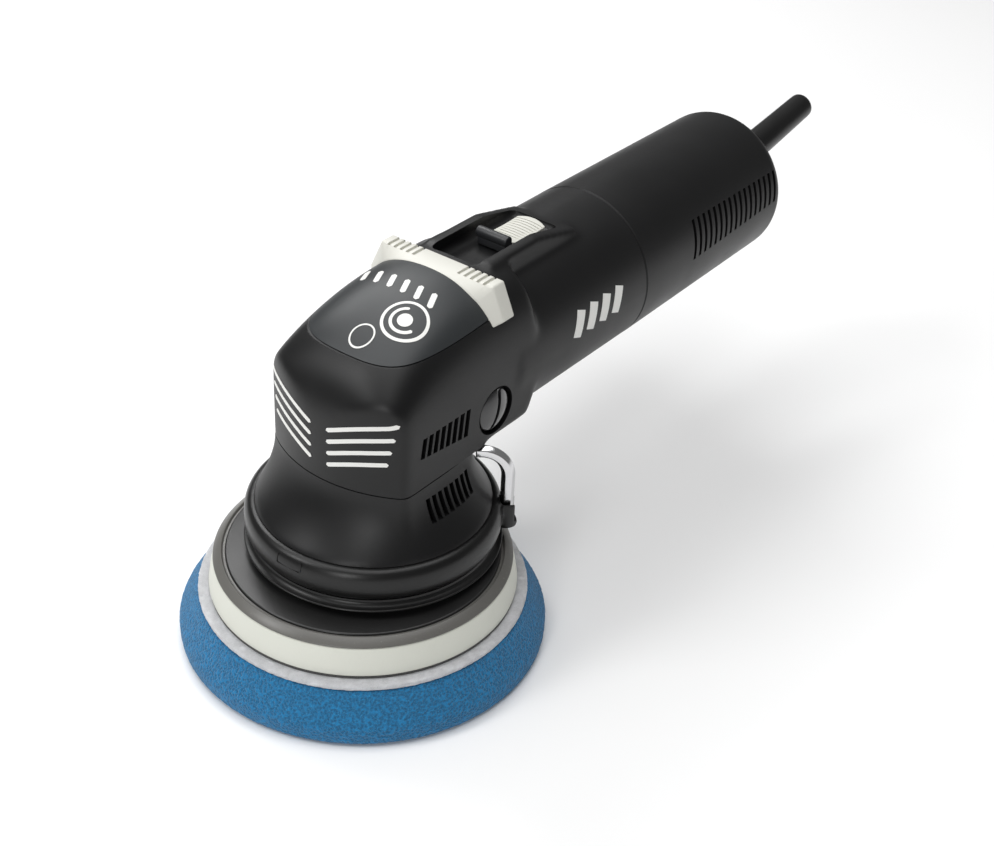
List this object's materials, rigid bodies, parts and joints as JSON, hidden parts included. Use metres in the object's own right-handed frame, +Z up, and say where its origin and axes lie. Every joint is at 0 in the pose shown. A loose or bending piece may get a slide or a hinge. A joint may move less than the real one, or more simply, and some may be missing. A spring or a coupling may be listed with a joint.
{
  "type": "dual action polisher",
  "caption": "Random orbit polisher: geared head over a foam pad on an offset backing plate, motor in a long round grip, top slide switch and rear cord boot.",
  "frame": {"origin": "centre of the pad's working face, on the pad axis", "axes": "+X along the grip from the nose to the cord, +Z up away from the pad's working face, +Y to the left when looking along +X"},
  "size_m": [0.4089, 0.15, 0.1505],
  "materials": {
    "foam": "matte",
    "loop_fabric": "matte",
    "hook_fabric": "matte",
    "cushion_foam": "matte",
    "rim_plastic": "satin",
    "disc_plastic": "satin",
    "housing_plastic": "satin",
    "panel_plastic": "satin",
    "collar_plastic": "satin",
    "print_white": "gloss",
    "soft_rubber": "matte",
    "black_plastic": "satin",
    "bar_plastic": "satin",
    "bright_steel": "polished",
    "plug_plastic": "gloss",
    "screw_steel": "satin",
    "shaft_steel": "satin",
    "gear_steel": "satin",
    "lamination_steel": "matte",
    "weight_iron": "matte",
    "case_aluminium": "matte",
    "enamelled_copper": "gloss",
    "brass_plate": "satin",
    "carbon": "matte",
    "board_resin": "gloss"
  },
  "bodies": {
    "housing": {"spindle_bearing_lower": "bright_steel", "spindle_bearing_upper": "bright_steel", "gear_case": "case_aluminium", "gear_case_screws": "screw_steel", "pinion_bearing": "bright_steel", "air_guide": "black_plastic", "stator_core": "lamination_steel", "field_coils": "enamelled_copper", "rear_bearing": "bright_steel", "rear_bearing_bracket": "black_plastic", "brush_holders": "brass_plate", "carbon_brushes": "carbon", "brush_springs": "shaft_steel", "main_housing": "housing_plastic", "top_panel": "panel_plastic", "panel_emblem": "print_white", "palm_collar": "collar_plastic", "front_stripes": "print_white", "side_badge": "print_white", "side_plugs": "plug_plastic", "skirt": "housing_plastic", "skirt_screws": "screw_steel", "bumper_ring": "soft_rubber", "dust_lip": "soft_rubber", "rear_housing": "housing_plastic", "housing_screws": "screw_steel", "power_switch": "black_plastic", "speed_module": "board_resin", "cord_clamp": "black_plastic", "clamp_screws": "screw_steel", "cord_boot": "soft_rubber"},
    "armature": {"motor_shaft": "shaft_steel", "armature_core": "lamination_steel", "armature_windings": "enamelled_copper", "commutator": "brass_plate", "cooling_fan": "black_plastic", "bevel_pinion": "gear_steel"},
    "spindle": {"spindle": "shaft_steel", "crown_gear": "gear_steel", "eccentric_carrier": "weight_iron", "counterweight": "weight_iron", "counterweight_screws": "screw_steel", "eccentric_bearings": "bright_steel"},
    "pad": {"pad_spindle": "shaft_steel", "plate_screw": "screw_steel", "backing_disc": "disc_plastic", "plate_rim": "rim_plastic", "plate_cushion": "cushion_foam", "hook_layer": "hook_fabric", "pad_loop_layer": "loop_fabric", "foam_pad": "foam"},
    "switch": {"switch_slider": "collar_plastic", "slider_bar": "bar_plastic", "switch_link": "black_plastic"},
    "dial": {"speed_dial": "black_plastic"},
    "key": {"hex_key": "bright_steel"}
  },
  "joints": [
    {"name": "armature_spin", "type": "hinge", "parent": "housing", "child": "armature", "pos_m": [0.1, 0, 0.11], "axis": [1, 0, 0], "continuous": true},
    {"name": "spindle_spin", "type": "hinge", "parent": "housing", "child": "spindle", "pos_m": [0.006, 0, 0.08], "axis": [0, 0, 1], "continuous": true},
    {"name": "pad_spin", "type": "hinge", "parent": "spindle", "child": "pad", "pos_m": [0, 0, 0.05], "axis": [0, 0, 1], "continuous": true},
    {"name": "switch_slide", "type": "slide", "parent": "housing", "child": "switch", "axis": [-1, 0, 0], "range_m": [0, 0.01]},
    {"name": "speed_dial_turn", "type": "hinge", "parent": "housing", "child": "dial", "pos_m": [0.239, 0, 0.0864], "axis": [0, 1, 0], "range_deg": [-135, 135]},
    {"name": "key_pull", "type": "slide", "parent": "housing", "child": "key", "axis": [0.6494, -0.7604, 0], "range_m": [0, 0.06]}
  ],
  "couplings": [
    {"joint": "spindle_spin", "follows": "armature_spin", "ratio": 0.33333}
  ]
}
